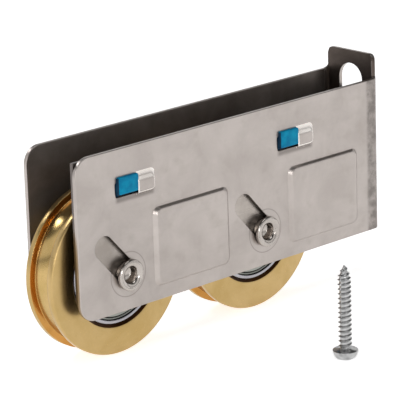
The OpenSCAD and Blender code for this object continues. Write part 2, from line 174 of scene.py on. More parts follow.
def carve(piece, tool, operation):
    """Joins a tool body to a piece or cuts it away, and puts the tool away."""
    finish_with(piece, "BOOLEAN", object=tool, operation=operation, solver="EXACT")
    bpy.data.objects.remove(tool)


TINY = 0.01


def turned(name, profile, sides=128, edge=0.0, ways=3):
    """Turns a closed outline of (radius, height) points about +Z, as on a lathe."""
    profile = [(max(r, TINY), h) for r, h in profile]
    first_r, first_h = profile[0]
    piece = start(name, "circle", vertices=sides, radius=first_r * MM, location=(0, 0, first_h * MM))
    bpy.ops.object.transform_apply(location=True, rotation=True, scale=True)
    edit(piece)
    bpy.ops.mesh.select_all(action="SELECT")
    last_r, last_h = first_r, first_h
    for r, h in profile[1:]:
        bpy.ops.mesh.extrude_region_move(TRANSFORM_OT_translate={"value": (0, 0, (h - last_h) * MM)})
        bpy.ops.transform.resize(value=(r / last_r, r / last_r, 1), center_override=(0, 0, 0))
        last_r, last_h = r, h
    bpy.ops.mesh.select_all(action="SELECT")
    done()
    close_turning(piece, profile)
    right_way_out(piece)
    if edge:
        finish_with(piece, "BEVEL", width=edge * MM, segments=ways, limit_method="ANGLE",
                    angle_limit=math.radians(25), use_clamp_overlap=True)
    return piece


def close_turning(piece, profile):
    """Bridges the outline's two ends where they stand apart, and merges each end that is on the axis."""
    edit(piece)
    for r, h in (profile[0], profile[-1]):
        if r <= TINY:
            pick(piece, "VERT", lambda c: math.hypot(c.x, c.y) < 2 * TINY and near(c.z, h))
            bpy.ops.mesh.merge(type="CENTER")
    if profile[0][0] > TINY and profile[-1][0] > TINY:
        mesh = bmesh.from_edit_mesh(piece.data)
        bpy.ops.mesh.select_mode(type="EDGE")
        bpy.ops.mesh.select_all(action="DESELECT")
        for e in mesh.edges:
            e.select = e.is_boundary
        mesh.select_flush_mode()
        bmesh.update_edit_mesh(piece.data)
        bpy.ops.mesh.bridge_edge_loops()
    done()


def onto_axle(piece, axle, y):
    """Lays a turned piece on an axle: its height runs along +Y from y."""
    piece.rotation_euler = (-math.pi / 2, 0, 0)
    piece.location = Vector((axle[0], y, axle[2])) * MM
    return settle(piece)


# ---------------------------------------------------------------- materials

def linear(colour):
    """An sRGB hex colour in Blender's linear values."""
    parts = [int(colour[i:i + 2], 16) / 255 for i in (1, 3, 5)]
    return [c / 12.92 if c <= 0.04045 else ((c + 0.055) / 1.055) ** 2.4 for c in parts] + [1.0]


def add(tree, kind, links=None, values=None, **settings):
    """Adds a node, sets its properties and its sockets' values, and links other nodes' outputs into it."""
    node = tree.nodes.new(kind)
    for key, value in settings.items():
        setattr(node, key, value)
    for key, value in (values or {}).items():
        node.inputs[key].default_value = value
    for key, source in (links or {}).items():
        tree.links.new(source, node.inputs[key])
    return node


def ramp(node, stops):
    """Sets a colour ramp's stops from (place, hex or grey) pairs."""
    band = node.color_ramp
    while len(band.elements) > len(stops):
        band.elements.remove(band.elements[-1])
    while len(band.elements) < len(stops):
        band.elements.new(0.5)
    for element, (place, tone) in zip(band.elements, stops):
        element.position = place
        element.color = linear(tone) if isinstance(tone, str) else (tone, tone, tone, 1)


def blank(name):
    material = bpy.data.materials.new(name)
    material.use_nodes = True
    tree = material.node_tree
    tree.nodes.clear()
    skin = add(tree, "ShaderNodeBsdfPrincipled")
    add(tree, "ShaderNodeOutputMaterial", {"Surface": skin.outputs[0]})
    return material, tree, skin


def brushed(tree, place, along, spacing):
    """Fine lines along one axis, one line about every spacing millimetres."""
    fine = 1 / (spacing * MM)
    scale = [fine, fine, fine]
    scale["XYZ".index(along)] = fine / 60
    turned_place = add(tree, "ShaderNodeMapping", {"Vector": place}, {"Scale": scale})
    return add(tree, "ShaderNodeTexNoise", {"Vector": turned_place.outputs[0]},
               {"Scale": 1.0, "Detail": 3.0, "Roughness": 0.6})


def metal(name, base, shade, roughness, spread, along="X", spacing=0.5, stain=None, edge=0.3, bump=0.02,
          stain_size=14.0, metallic=1.0):
    """A bare metal: its colour drifts between two tones, and its finish follows fine lines."""
    material, tree, skin = blank(name)
    place = add(tree, "ShaderNodeTexCoord").outputs["Object"]
    lines = brushed(tree, place, along, spacing)
    clouds = add(tree, "ShaderNodeTexNoise", {"Vector": place},
                 {"Scale": 1 / (stain_size * MM), "Detail": 5.0, "Roughness": 0.62, "Distortion": 0.4})
    tone = add(tree, "ShaderNodeValToRGB", {"Fac": clouds.outputs[0]})
    ramp(tone, [(0.36, shade), (0.62, base)])
    tree.links.new(tone.outputs[0], skin.inputs["Base Color"])
    if stain:
        drops = add(tree, "ShaderNodeTexNoise", {"Vector": place},
                    {"Scale": 1 / (5.0 * MM), "Detail": 3.0, "Roughness": 0.5})
        patches = add(tree, "ShaderNodeMapRange", {"Value": drops.outputs[0]},
                      {"From Min": 0.55, "From Max": 0.75, "To Min": 0.0, "To Max": 0.5})
        overlay(material, patches.outputs[0], stain)
    smooth, rough = roughness - spread, roughness + spread
    finish = add(tree, "ShaderNodeMapRange", {"Value": lines.outputs[0]},
                 {"From Min": 0.3, "From Max": 0.7, "To Min": smooth, "To Max": rough})
    tree.links.new(finish.outputs[0], skin.inputs["Roughness"])
    skin.inputs["Metallic"].default_value = metallic
    soft_edge = add(tree, "ShaderNodeBevel", values={"Radius": edge * MM}, samples=6)
    relief = add(tree, "ShaderNodeBump", {"Height": lines.outputs[0], "Normal": soft_edge.outputs[0]},
                 {"Strength": bump, "Distance": 0.05 * MM})
    tree.links.new(relief.outputs[0], skin.inputs["Normal"])
    return material


def overlay(material, mask, tone):
    """Lays a second tone over a material's colour wherever the mask is 1."""
    tree = material.node_tree
    skin = next(n for n in tree.nodes if n.type == "BSDF_PRINCIPLED")
    below = skin.inputs["Base Color"].links[0].from_socket
    mix = add(tree, "ShaderNodeMix", data_type="RGBA")
    mix.inputs[7].default_value = linear(tone)
    tree.links.new(mask, mix.inputs[0])
    tree.links.new(below, mix.inputs[6])
    tree.links.new(mix.outputs[2], skin.inputs["Base Color"])


def math_node(tree, operation, a, b=0.0):
    """One sum of two values, each a socket or a number."""
    node = add(tree, "ShaderNodeMath", operation=operation)
    for socket, value in zip(node.inputs, (a, b)):
        if isinstance(value, (int, float)):
            socket.default_value = value
        else:
            tree.links.new(value, socket)
    return node.outputs[0]


def band(tree, value, low, high, blur):
    """1 between low and high, falling to 0 over the blur on both sides."""
    rise = add(tree, "ShaderNodeMapRange", {"Value": value}, {"From Min": low - blur, "From Max": low},
               interpolation_type="SMOOTHSTEP")
    fall = add(tree, "ShaderNodeMapRange", {"Value": value},
               {"From Min": high, "From Max": high + blur, "To Min": 1.0, "To Max": 0.0},
               interpolation_type="SMOOTHSTEP")
    return math_node(tree, "MULTIPLY", rise.outputs[0], fall.outputs[0])


def worn_and_shaded_sheet(material):
    """Darker patches on the near bend, painted shade under each window, and a washer's faint ring round
    each pin.
    """
    tree = material.node_tree
    place = add(tree, "ShaderNodeTexCoord").outputs["Object"]
    parts = add(tree, "ShaderNodeSeparateXYZ", {"Vector": place})
    patches = add(tree, "ShaderNodeTexNoise", {"Vector": place},
                  {"Scale": 1 / (3.5 * MM), "Detail": 4.0, "Roughness": 0.65})
    patchy = add(tree, "ShaderNodeMapRange", {"Value": patches.outputs[0]},
                 {"From Min": 0.35, "From Max": 0.6, "To Min": 0.25, "To Max": 0.85})
    bend = math_node(tree, "MULTIPLY", band(tree, parts.outputs["X"], -4.6 * MM, 5 * MM, 1.4 * MM),
                     band(tree, parts.outputs["Y"], -1, (NEAR_Y + 1.5) * MM, 1.5 * MM))
    overlay(material, math_node(tree, "MULTIPLY", bend, patchy.outputs[0]), "#6F6965")
    # Painted shade: a darker band on the plate just under each window and its louvre.
    for x0 in WINDOW_X.values():
        along = band(tree, parts.outputs["X"], (x0 + 1) * MM, (x0 + 13) * MM, 1.5 * MM)
        below = band(tree, parts.outputs["Z"], (WINDOW["low_z"] - 0.6) * MM, WINDOW["low_z"] * MM, 1.1 * MM)
        near_side = band(tree, parts.outputs["Y"], -1, 0, 1 * MM)
        shade_under_window = math_node(tree, "MULTIPLY", math_node(tree, "MULTIPLY", along, below), near_side)
        overlay(material, math_node(tree, "MULTIPLY", shade_under_window, 0.55), "#544D49")
    for axle in (LEAD, TAIL):
        along = math_node(tree, "SUBTRACT", parts.outputs["X"], axle[0] * MM)
        above = math_node(tree, "SUBTRACT", parts.outputs["Z"], axle[2] * MM)
        reach = math_node(tree, "SQRT", math_node(tree, "ADD", math_node(tree, "POWER", along, 2.0),
                                                  math_node(tree, "POWER", above, 2.0)))
        ring = band(tree, reach, 6.1 * MM, 6.25 * MM, 0.15 * MM)
        overlay(material, math_node(tree, "MULTIPLY", ring, 0.45), "#6F6965")


def shaded_end(material):
    """The strip's open end, which stands out behind the housing's round corner, is painted darker as shade.
    """
    tree = material.node_tree
    place = add(tree, "ShaderNodeTexCoord").outputs["Object"]
    parts = add(tree, "ShaderNodeSeparateXYZ", {"Vector": place})
    overlay(material, band(tree, parts.outputs["X"], -1, (OPEN_X + 2.5) * MM, 1.5 * MM), "#6A6360")


def plastic(name, base, shade, roughness, grain=0.6, edge=0.25):
    """A moulded plastic or rubber with a faint grain."""
    material, tree, skin = blank(name)
    place = add(tree, "ShaderNodeTexCoord").outputs["Object"]
    clouds = add(tree, "ShaderNodeTexNoise", {"Vector": place},
                 {"Scale": 1 / (3.0 * MM), "Detail": 4.0, "Roughness": 0.55})
    tone = add(tree, "ShaderNodeValToRGB", {"Fac": clouds.outputs[0]})
    ramp(tone, [(0.35, shade), (0.65, base)])
    tree.links.new(tone.outputs[0], skin.inputs["Base Color"])
    skin.inputs["Roughness"].default_value = roughness
    skin.inputs["IOR"].default_value = 1.5
    skin.inputs["Specular IOR Level"].default_value = 0.06
    texture = add(tree, "ShaderNodeTexNoise", {"Vector": place},
                  {"Scale": 1 / (grain * MM), "Detail": 2.0, "Roughness": 0.5})
    soft_edge = add(tree, "ShaderNodeBevel", values={"Radius": edge * MM}, samples=6)
    relief = add(tree, "ShaderNodeBump", {"Height": texture.outputs[0], "Normal": soft_edge.outputs[0]},
                 {"Strength": 0.12, "Distance": 0.05 * MM})
    tree.links.new(relief.outputs[0], skin.inputs["Normal"])
    return material


# Cold-rolled mild steel, left bare: warm grey, faintly stained, with rolling lines along its length.
ROLLED_STEEL = metal("cold_rolled_steel", "#B7AFAA", "#ABA39E", 0.34, 0.04, "X", 0.45, "#A39B94")
# Adds darker patches on the near bend, painted shade under each window and faint washer rings round the
# pins.
worn_and_shaded_sheet(ROLLED_STEEL)
# The sheet's inner faces are painted darker and brownish: painted shade inside the housing.
SHADED_INSIDE = metal("shaded_inside_of_sheet", "#8A827C", "#766D67", 0.42, 0.02, "X", 0.45, bump=0.0,
                     metallic=0.85)
# The end fold's inner face is painted darker still: painted shade in the fold.
SHADED_FOLD = metal("shaded_fold_of_sheet", "#5C534E", "#49413C", 0.4, 0.03, "Z", 0.45, bump=0.0)
# A sheared edge inside a slot: rough, and painted dark as shade in the slot.
SHADED_SLOT_EDGE = metal("sheared_edge_in_painted_shade", "#5E554F", "#453D38", 0.5, 0.05, "Y", 0.2)
# The press rubbed the louvres' rims smooth; their paler colour is a painted highlight.
BRIGHTENED_RIM_STEEL = metal("rubbed_rim_painted_highlight", "#EFEAE5", "#D8D1CB", 0.2, 0.05, "X", 0.3)
# The slide plate is the same strip, a little darker from its oil.
OILED_STEEL = metal("oiled_steel_strip", "#B1A9A2", "#9B938C", 0.32, 0.06, "X", 0.45)
# Painted shade on the strip's open end, where it shows behind the housing's corner.
shaded_end(OILED_STEEL)
# Turned free-cutting steel, bright.
BRIGHT_STEEL = metal("turned_bright_steel", "#B9B2AC", "#A39C96", 0.17, 0.04, "Y", 0.3)
# Bearing steel, ground: smoother and whiter than the sheet.
GROUND_STEEL = metal("ground_bearing_steel", "#B2B0B4", "#A09EA3", 0.22, 0.04, "Y", 0.3)
# The fixing screw's zinc is fresh, neutral grey and glossy.
FRESH_ZINC = metal("fresh_zinc_plate", "#BCBCBC", "#979797", 0.17, 0.05, "Z", 0.4, stain_size=2.0)
# Zinc plating over steel: slightly blue-grey, a little dull.
ZINC_PLATE = metal("zinc_plated_steel", "#B9B8B6", "#9A9895", 0.3, 0.07, "Z", 0.4)
# Turned yellow brass: satin on the flanges, polished on the groove's sides, whose darker, more orange
# colour is painted shade and reflection in the groove.
SATIN_BRASS = metal("satin_turned_brass", "#C2A674", "#B59963", 0.3, 0.03, "Y", 0.35, bump=0.01)
GROOVE_BRASS_SHADED = metal("polished_groove_brass_painted_shade", "#C49453", "#B58342", 0.16, 0.03, "Y", 0.3, bump=0.01)
# The groove's floor, rolled pale by the rail: smoother than the flanges and just as yellow.
ROLLED_BRASS = metal("rail_rolled_brass", "#C4A771", "#B69A60", 0.19, 0.03, "Y", 0.3, bump=0.01)
# The narrow gap round each bearing is painted nearly black over the brass: painted shade.
SHADED_BRASS_SEAT = metal("shaded_brass_seat", "#5E3D20", "#412814", 0.4, 0.05, "Y", 0.3)
# Moulded acetal, bright blue, with a slight gloss; its left and lower sides are painted dark blue as shade.
BLUE_ACETAL = plastic("blue_moulded_acetal", "#0A88AA", "#056991", 0.35)
SHADED_ACETAL = plastic("shaded_blue_acetal", "#1D3E55", "#11293C", 0.4)
# The bearings' pressed shields: dull zinc grey, painted nearly black in the crimp round them as shade.
SHIELD_STEEL = metal("zinc_plated_shield", "#A5A8A2", "#8D908A", 0.3, 0.05, "Y", 0.3)
SHADED_CRIMP = metal("shaded_crimp", "#2E2C2A", "#1C1B1A", 0.45, 0.05, "Y", 0.3)

FINISHES = {
    "housing_sheet": ROLLED_STEEL,
    "glide_plastic": BLUE_ACETAL,
    "slide_sheet": OILED_STEEL,
    "adjuster_steel": ZINC_PLATE,
    "pin_steel": BRIGHT_STEEL,
    "spacer_steel": OILED_STEEL,
    "bearing_steel": GROUND_STEEL,
    "cage_steel": OILED_STEEL,
    "shield_steel": SHIELD_STEEL,
    "wheel_brass": SATIN_BRASS,
    "screw_steel": FRESH_ZINC,
}


def coat(piece, *materials):
    piece.data.materials.clear()
    for m in materials:
        piece.data.materials.append(m)


for sub in frame["record"]["subparts"]:
    coat(frame["nodes"][sub["node"]], FINISHES[sub["material_slot"]])


# ---------------------------------------------------------------- housing

# Both bends are folded in equal steps, and the blank is divided where two steps meet.
BENDS = 8
TURN = math.radians(90) / (BENDS + 1)
CHORD = BEND_R / sum(math.cos(TURN * k) for k in range(1, BENDS + 1))
NEAR_BEND_X = -BEND_R
END_FLAT = HOUSING_W - 2 * BEND_R
FAR_BEND_X = NEAR_BEND_X + CHORD * BENDS + END_FLAT
FAR_PLATE_X = FAR_BEND_X + CHORD * BENDS
BLANK_END = FAR_PLATE_X + HOUSING_L - BEND_R


def on_far_plate(x):
    """Where a place on the far plate lies along the flat blank."""
    return FAR_PLATE_X - BEND_R - x


def raised_block(name, x, z, y, rise, corner, leans, soft, open_side=False, root=0.12):
    """A tool body that stands out of a plate by rise, with round corners and soft upper edges.

    The leans are how far its left, right, bottom and top sides slope in over the rise."""
    (x0, x1), (z0, z1) = x, z
    piece = start(name, "cube", size=MM)
    piece.scale = (x1 - x0, rise + root, z1 - z0)
    piece.location = Vector(((x0 + x1) / 2, y + (root - rise) / 2, (z0 + z1) / 2)) * MM
    bpy.ops.object.transform_apply(location=True, rotation=True, scale=True)
    edit(piece)
    pick(piece, "EDGE", lambda c, d: near(abs(d.y), rise + root) and (not open_side or c.x > x0 + 0.1))
    bpy.ops.mesh.bevel(offset=corner * MM, segments=6, affect="EDGES")
    pick(piece, "FACE", lambda c, n: n.y < -0.9)
    left, right, foot, top = leans
    middle = (x0 + left / (left + right) * (x1 - x0), y - rise, z0 + foot / (foot + top) * (z1 - z0))
    shrink = (1 - (left + right) / (x1 - x0), 1, 1 - (foot + top) / (z1 - z0))
    bpy.ops.transform.resize(value=shrink, center_override=Vector(middle) * MM)
    pick(piece, "EDGE", lambda c, d: near(c.y, y - rise))
    bpy.ops.mesh.bevel(offset=soft * MM, segments=4, affect="EDGES")
    done()
    return piece


def slot_tool(name, x, z, angle, length, width, depth=6.0):
    """A tool body for a slot through a plate, from its first centre (x, z) along an angle."""
    piece = start(name, "cylinder", vertices=48, radius=width / 2 * MM, depth=depth * MM,
                  end_fill_type="NGON", rotation=(math.pi / 2, 0, 0))
    bpy.ops.object.transform_apply(location=True, rotation=True, scale=True)
    edit(piece)
    pick(piece, "VERT", lambda c: c.x > 0.01)
    bpy.ops.transform.translate(value=(length * MM, 0, 0))
    done()
    piece.rotation_euler = (0, -angle, 0)
    piece.location = Vector((x, NEAR_Y, z)) * MM
    bpy.ops.object.transform_apply(location=True, rotation=True, scale=True)
    return piece


PAD = {"length": 28.4, "height": 22.4, "rise": 0.9, "from_axle": 9.3, "low_z": LOW_Z + 3.9, "corner": 2.0,
       "leans": (1.3, 1.3, 0.6, 0.6), "soft": 0.3, "recess": 0.5}
SLOT = {"travel": 12.2, "slope": math.radians(48.5), "width": 6.6}
LOUVRE = {"length": 6.4, "rise": 1.1, "skin": 0.45, "leans": (0, 1.0, 0.9, 2.6), "corner": 1.6, "soft": 0.4}
TAB_RISE = 6.8
END_SLOT = {"width": 9.0, "top_z": TOP_Z + TAB_RISE - 3.8}
FIXING_HOLE_R = 2.0
TAB_CORNER_R = 2.3
RIM_ROUND_R = 0.22


def pad_tools(inset, y):
    """The two raised pads of each plate, as tool bodies on the flat blank."""
    tools = []
    for axle in (LEAD, TAIL):
        first = axle[0] + PAD["from_axle"]
        span = (first, first + PAD["length"])
        mirrored = tuple(sorted(on_far_plate(x) for x in span))
        for x0, x1 in (span, mirrored):
            z = (PAD["low_z"] + inset, PAD["low_z"] + PAD["height"] - inset)
            tools.append(raised_block("pad", (x0 + inset, x1 - inset), z, y, PAD["rise"],
                                      PAD["corner"] - inset, PAD["leans"], PAD["soft"]))
    return tools


def make_blank():
    """The flat sheet with its tab and round corners."""
    tab_z = TOP_Z + TAB_RISE
    blank = start("housing_folded", "cube", size=MM)
    blank.scale = (BLANK_END - OPEN_X, SHEET_T, HOUSING_H)
    blank.location = Vector(((BLANK_END + OPEN_X) / 2, NEAR_Y + SHEET_T / 2, LOW_Z + HOUSING_H / 2)) * MM
    bpy.ops.object.transform_apply(location=True, rotation=True, scale=True)
    tab_near = NEAR_BEND_X + 5 * CHORD
    tab_far = FAR_BEND_X + 2 * CHORD
    edit(blank)
    for x in (tab_near, tab_far):
        bpy.ops.mesh.select_all(action="SELECT")
        bpy.ops.mesh.bisect(plane_co=(x * MM, 0, 0), plane_no=(1, 0, 0))
    pick(blank, "FACE", lambda c, n: n.z > 0.9 and tab_near < c.x < tab_far)
    bpy.ops.mesh.extrude_region_move(TRANSFORM_OT_translate={"value": (0, 0, TAB_RISE * MM)})
    thick = SHEET_T * 0.9

    def upright(x, z):
        return lambda c, d: abs(d.y) > thick and near(c.x, x) and near(c.z, z)

    for x, z, r in ((OPEN_X, LOW_Z, CORNER_R), (OPEN_X, TOP_Z, CORNER_R), (BLANK_END, LOW_Z, CORNER_R),
                    (BLANK_END, TOP_Z, CORNER_R), (tab_near, tab_z, TAB_CORNER_R),
                    (tab_far, tab_z, TAB_CORNER_R), (tab_near, TOP_Z, 0.6), (tab_far, TOP_Z, 2.4)):
        pick(blank, "EDGE", upright(x, z))
        bpy.ops.mesh.bevel(offset=r * MM, segments=10, affect="EDGES")
    # The shear leaves a small round along the whole rim, which catches the light.
    pick(blank, "EDGE", lambda c, d: abs(d.y) < 0.01 and not inside_outline(c, tab_near, tab_far))
    bpy.ops.mesh.bevel(offset=RIM_ROUND_R * MM, segments=3, affect="EDGES")
    done()
    return blank


def inside_outline(c, tab_near, tab_far):
    """True for an edge that only divides a flat face, and isn't on the rim."""
    on_line = near(c.x, tab_near) or near(c.x, tab_far)
    return on_line and LOW_Z + 1 < c.z < TOP_Z - 1


def fold(blank, x):
    """Turns all that lies beyond x by one step of a bend."""
    pick(blank, "VERT", lambda c: c.x > x + 0.005 or c.y > NEAR_Y + SHEET_T + 0.005)
    bpy.ops.transform.rotate(value=-TURN, orient_axis="Z", orient_type="GLOBAL",
                             center_override=(x * MM, NEAR_Y * MM, 0))


def on_louvre(c):
    in_height = WINDOW["low_z"] - 1 < c.z < WINDOW["low_z"] + WINDOW["height"] + 1
    return in_height and any(0 < c.x - x0 < WINDOW["length"] + 1 for x0 in WINDOW_X.values())


def near_slot(c, axle):
    """True for a place on a slot's wall."""
    dx, dz = axle[0] - c.x, c.z - axle[2]
    along = dx * math.cos(SLOT["slope"]) + dz * math.sin(SLOT["slope"])
    across = dz * math.cos(SLOT["slope"]) - dx * math.sin(SLOT["slope"])
    beyond = along - min(max(along, 0), SLOT["travel"])
    return math.hypot(beyond, across) < SLOT["width"] / 2 + 0.1


def make_housing():
    blank = make_blank()
    bumps = pad_tools(0, NEAR_Y)
    for x0 in WINDOW_X.values():
        x = (x0 + WINDOW["length"] - LOUVRE["length"], x0 + WINDOW["length"] + LOUVRE["skin"])
        z = (WINDOW["low_z"] - LOUVRE["skin"], WINDOW["low_z"] + WINDOW["height"] + LOUVRE["skin"])
        bumps.append(raised_block("louvre", x, z, NEAR_Y, LOUVRE["rise"], LOUVRE["corner"], LOUVRE["leans"],
                                  LOUVRE["soft"], open_side=True))
    carve(blank, together(bumps, "bumps"), "UNION")
    cuts = pad_tools(PAD["recess"], NEAR_Y + SHEET_T)
    for axle in (LEAD, TAIL):
        for x, angle in ((axle[0], math.pi - SLOT["slope"]), (on_far_plate(axle[0]), SLOT["slope"])):
            cuts.append(slot_tool("slot", x, axle[2], angle, SLOT["travel"], SLOT["width"]))
    end_middle = (NEAR_BEND_X + CHORD * BENDS + FAR_BEND_X) / 2
    slot_top = END_SLOT["top_z"] - END_SLOT["width"] / 2
    rise = SLOT["travel"] * math.sin(SLOT["slope"]) + 0.5
    cuts.append(slot_tool("end_slot", end_middle + END_Y, slot_top, -math.pi / 2, rise, END_SLOT["width"]))
    cuts.append(slot_tool("fixing_hole", end_middle, 0, 0, 0, 2 * FIXING_HOLE_R))
    carve(blank, together(cuts, "cuts"), "DIFFERENCE")
    windows = []
    for x0 in WINDOW_X.values():
        z0, z1 = WINDOW["low_z"], WINDOW["low_z"] + WINDOW["height"]
        x1 = x0 + WINDOW["length"]
        windows.append(raised_block("window", (x0, x1), (z0, z1), NEAR_Y + 0.05,
                                    rise=0.05 + LOUVRE["rise"] - LOUVRE["skin"], corner=0.8,
                                    leans=(0.05, 0.8, 0.4, 2.0), soft=0.2, root=SHEET_T + 0.2))
    carve(blank, together(windows, "windows"), "DIFFERENCE")
    edit(blank)
    for base in (NEAR_BEND_X, FAR_BEND_X):
        for k in range(BENDS + 1):
            bpy.ops.mesh.select_all(action="SELECT")
            bpy.ops.mesh.bisect(plane_co=((base + CHORD * k) * MM, 0, 0), plane_no=(1, 0, 0))
    for base in (FAR_BEND_X, NEAR_BEND_X):
        for k in range(BENDS, -1, -1):
            fold(blank, base + CHORD * k)
    done()
    settle(blank, 32)
    # The large flats keep their own direction, and only the small rounds beside them shade smoothly.
    finish_with(blank, "WEIGHTED_NORMAL", mode="FACE_AREA", weight=50, keep_sharp=True)
    coat(blank, ROLLED_STEEL, SHADED_INSIDE, SHADED_FOLD, SHADED_SLOT_EDGE, BRIGHTENED_RIM_STEEL)
    outside, inside, fold_inside, slot_wall, louvre_side = range(5)
    for f in blank.data.polygons:
        c, n = f.center / MM, f.normal
        # Inner faces of both plates take the darker steel: painted shade.
        into_near = near(c.y, NEAR_Y + SHEET_T, 0.03) and n.y > 0.9
        into_far = near(c.y, -NEAR_Y - SHEET_T, 0.03) and n.y < -0.9
        # The end fold's inner face takes the darkest steel: painted shade.
        into_end = c.x > NEAR_BEND_X - 0.5 and n.x < -0.3 and c.x < -0.6
        # Slot walls take the dark steel: painted shade.
        in_slot = any(near_slot(c, axle) for axle in (LEAD, TAIL)) and abs(n.y) < 0.3
        side = inside if into_near or into_far else outside
        f.material_index = slot_wall if in_slot else fold_inside if into_end else side
        # The louvres' sloping sides take the paler steel: painted highlight.
        if c.y < NEAR_Y - 0.06 and on_louvre(c) and n.y > -0.97:
            f.material_index = louvre_side
    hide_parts("housing")
    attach(blank, "housing")
    return blank


# ---------------------------------------------------------------- turned parts

def dress(piece, node, body, slot, *materials):
    if materials:
        coat(piece, *materials)
    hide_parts(node)
    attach(piece, body)


def make_wheel(end, axle):
    """Two flanges, a flat groove between them, and a stepped bore for the bearing."""
    low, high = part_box(f"wheel_{end}")
    rim = (high[2] - low[2]) / 2 / MM
    width = (high[1] - low[1]) / MM
    floor_r, groove_w, seat_r, shoulder_r = rim - 1.75, 7.0, 15.0, 13.0
    seat_depth, lead_in, chamfer, slope = 9.3, 0.8, 0.3, 0.2
    flange = (width - groove_w) / 2
    wheel = turned(f"wheel_{end}_turned", [
        (seat_r + lead_in, 0), (rim - chamfer, 0), (rim, chamfer), (rim, flange), (floor_r, flange + slope),
        (floor_r, width - flange - slope), (rim, width - flange), (rim, width - chamfer),
        (rim - chamfer, width), (shoulder_r, width), (shoulder_r, seat_depth), (seat_r, seat_depth),
        (seat_r, lead_in)], sides=192, edge=0.12, ways=2)
    coat(wheel, SATIN_BRASS, GROOVE_BRASS_SHADED, SHADED_BRASS_SEAT, ROLLED_BRASS)
    flange_face, groove_side, bearing_seat, groove_floor = range(4)
    for f in wheel.data.polygons:
        c = f.center / MM
        r = math.hypot(c.x, c.y)
        # The groove's sides take the darker, more orange brass: painted shade and reflection.
        groove = r > floor_r - 0.3 and flange - 0.05 < c.z < width - flange + 0.05
        # The seat round the bearing takes the nearly black brass: painted shade in the gap.
        seat = r < seat_r + 0.75 and c.z < width - 0.1
        clear = flange + slope + 0.05
        floor = groove and r < floor_r + 0.1 and clear < c.z < width - clear
        side = groove_side if groove else bearing_seat if seat else flange_face
        f.material_index = groove_floor if floor else side
    onto_axle(wheel, axle, low[1] / MM)
    dress(wheel, f"wheel_{end}", f"{end}_wheel", "wheel_brass")


def make_pin(end, axle):
    """A pin with a flared, hollow head at each end."""
    low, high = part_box(f"pin_{end}")
    half = (high[1] - low[1]) / 2 / MM
    shank, head, lip, hollow = 3.25, 4.35, 1.5, 2.2
    arm = [(0, half - 4.0), (hollow, half - 3.2), (hollow, half - 0.9), (hollow + 0.3, half - 0.45),
           (hollow + 1.0, half - 0.05), (head - 0.55, half), (head - 0.12, half - 0.25), (head, half - 0.6),
           (head - 0.05, half - 1.1), (head - 0.35, half - lip), (shank, half - lip)]
    profile = arm + [(r, -h) for r, h in reversed(arm)]
    pin = turned(f"pin_{end}_flared", profile, sides=96, edge=0.1, ways=2)
    onto_axle(pin, axle, (low[1] + high[1]) / 2 / MM)
    dress(pin, f"pin_{end}", "carriage", "pin_steel", BRIGHT_STEEL)


def make_bearing(end, axle):
    """The outer ring with its shield seats, and the two pressed shields."""
    low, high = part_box(f"outer_ring_{end}")
    width = (high[1] - low[1]) / MM
    outer_r, shield_r, race_r, round_r, recess = 15.0, 13.8, 11.18, 0.4, 0.8
    ring = turned(f"outer_ring_{end}_ground", [
        (shield_r, 0), (outer_r - round_r, 0), (outer_r, round_r), (outer_r, width - round_r),
        (outer_r - round_r, width), (shield_r, width), (shield_r, width - recess), (race_r, width - recess),
        (race_r, recess), (shield_r, recess)], sides=160, edge=0.08, ways=2)
    onto_axle(ring, axle, low[1] / MM)
    dress(ring, f"outer_ring_{end}", f"{end}_wheel", "bearing_steel", GROUND_STEEL)
    inner_r, crimp_r, thick, below_face = 8.97, 12.75, 0.6, 0.2
    shield = turned("shield", [
        (inner_r, 0.1), (inner_r + 0.4, 0), (crimp_r, 0), (12.9, 0.25), (13.15, 0.3), (13.25, 0.12),
        (13.5, 0.12), (13.6, 0.35), (shield_r, 0.4), (shield_r, thick), (inner_r, thick)], sides=128)
    coat(shield, SHIELD_STEEL, SHADED_CRIMP)
    for f in shield.data.polygons:
        c = f.center / MM
        r = math.hypot(c.x, c.y)
        # Painted shade: the crimp's walls and outer lip take the nearly black steel.
        f.material_index = 1 if r > crimp_r and not 13.17 < r < 13.5 else 0
    other = twin(shield, "shield_far")
    other.data.transform(Matrix.Diagonal((1, 1, -1, 1)))
    other.data.transform(Matrix.Translation((0, 0, (width - below_face) * MM)))
    other.data.flip_normals()
    shield.data.transform(Matrix.Translation((0, 0, below_face * MM)))
    pair = together([shield, other], f"shields_{end}_pressed")
    onto_axle(pair, axle, low[1] / MM)
    dress(pair, f"shields_{end}", f"{end}_wheel", "shield_steel")


def thread(name, core, crest, pitch, base, top_width, length, sides=32):
    """A helical ridge about +Z: a small outline turned and lifted by the screw modifier."""
    ridge = start(name, "plane", size=MM)
    edit(ridge)
    mesh = bmesh.from_edit_mesh(ridge.data)
    root = core - 0.06
    outline = [(root, -base / 2), (crest, -top_width / 2), (crest, top_width / 2), (root, base / 2)]
    order = sorted(mesh.verts, key=lambda v: math.atan2(v.co.y, v.co.x))
    for v, (r, h) in zip(order, outline):
        v.co = Vector((r, 0, h)) * MM
    bmesh.update_edit_mesh(ridge.data)
    bpy.ops.mesh.delete(type="ONLY_FACE")
    done()
    turns = length / pitch
    steps = int(sides * turns)
    finish_with(ridge, "SCREW", angle=2 * math.pi * turns, screw_offset=length * MM, steps=steps,
                render_steps=steps, axis="Z", use_merge_vertices=False)
    edit(ridge)
    bpy.ops.mesh.select_mode(type="EDGE")
    bpy.ops.mesh.select_all(action="DESELECT")
    bpy.ops.mesh.select_non_manifold(use_wire=False, use_multi_face=False, use_non_contiguous=False,
                                     use_verts=False)
    bpy.ops.mesh.edge_face_add()
    done()
    right_way_out(ridge)
    return ridge


